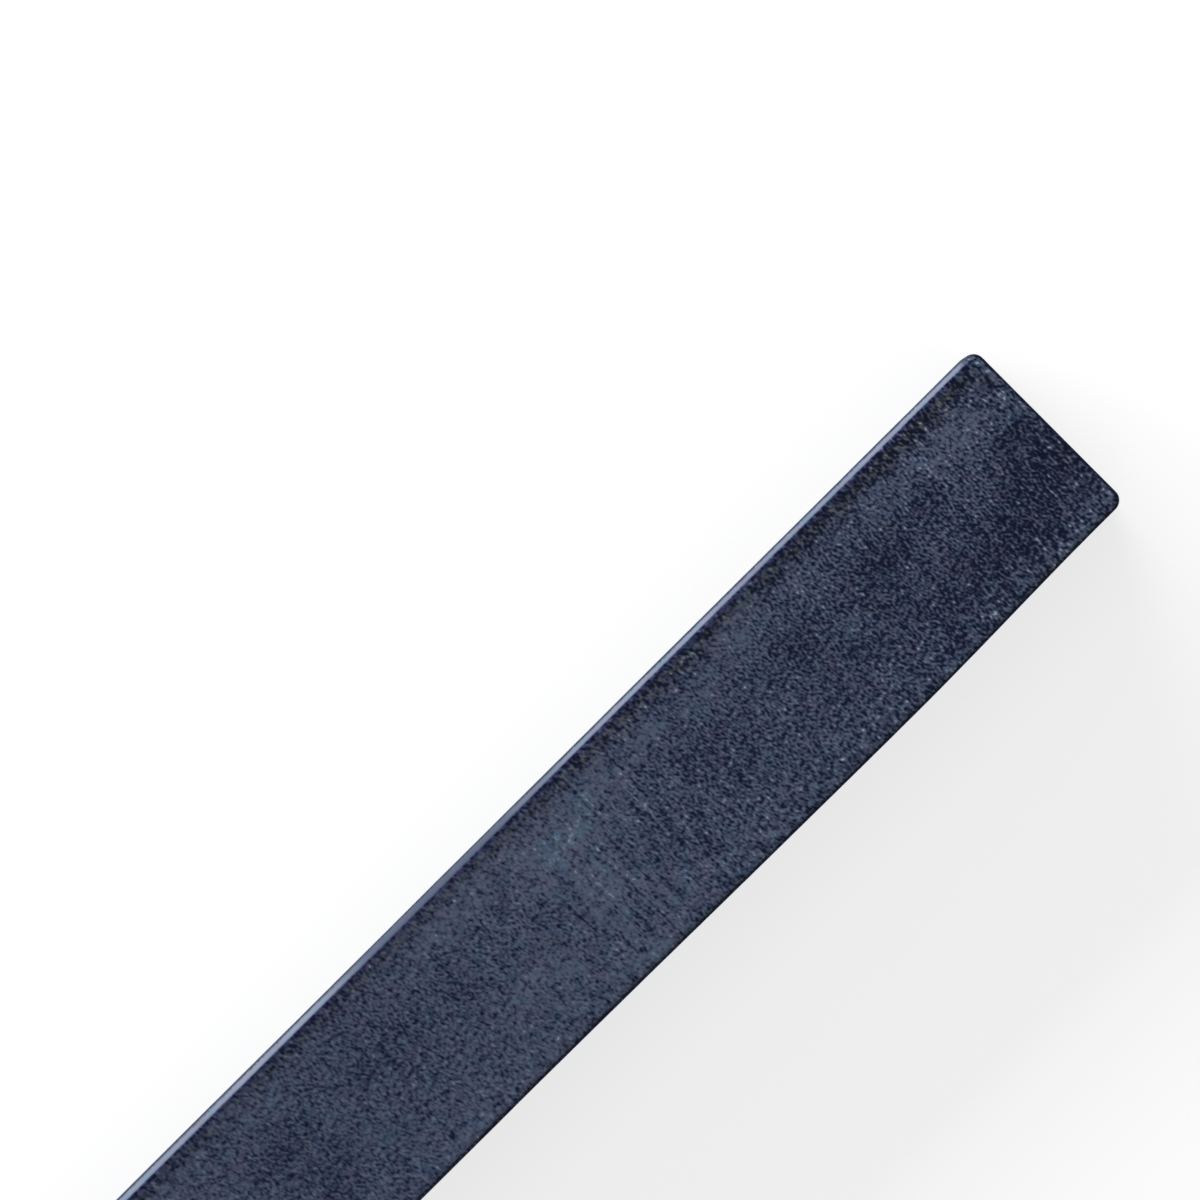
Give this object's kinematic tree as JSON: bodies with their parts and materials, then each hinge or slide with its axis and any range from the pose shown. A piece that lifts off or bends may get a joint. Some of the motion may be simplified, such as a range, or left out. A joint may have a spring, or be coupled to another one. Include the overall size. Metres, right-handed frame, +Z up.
{
  "type": "soft pastel stick",
  "caption": "Square soft pastel stick of pressed slate-indigo pigment, with rolled long edges and rounded end corners, for drawing and shading on toothed paper.",
  "frame": {"origin": "middle of the underside: midway along the stick and across it, on the surface that it lies on", "axes": "+X along the stick, +Y across it, +Z up from the long face that it lies on"},
  "size_m": [0.065, 0.01, 0.01],
  "materials": {
    "pressed_pigment": "matte"
  },
  "bodies": {
    "root": {"pastel_stick": "pressed_pigment"}
  },
  "joints": []
}
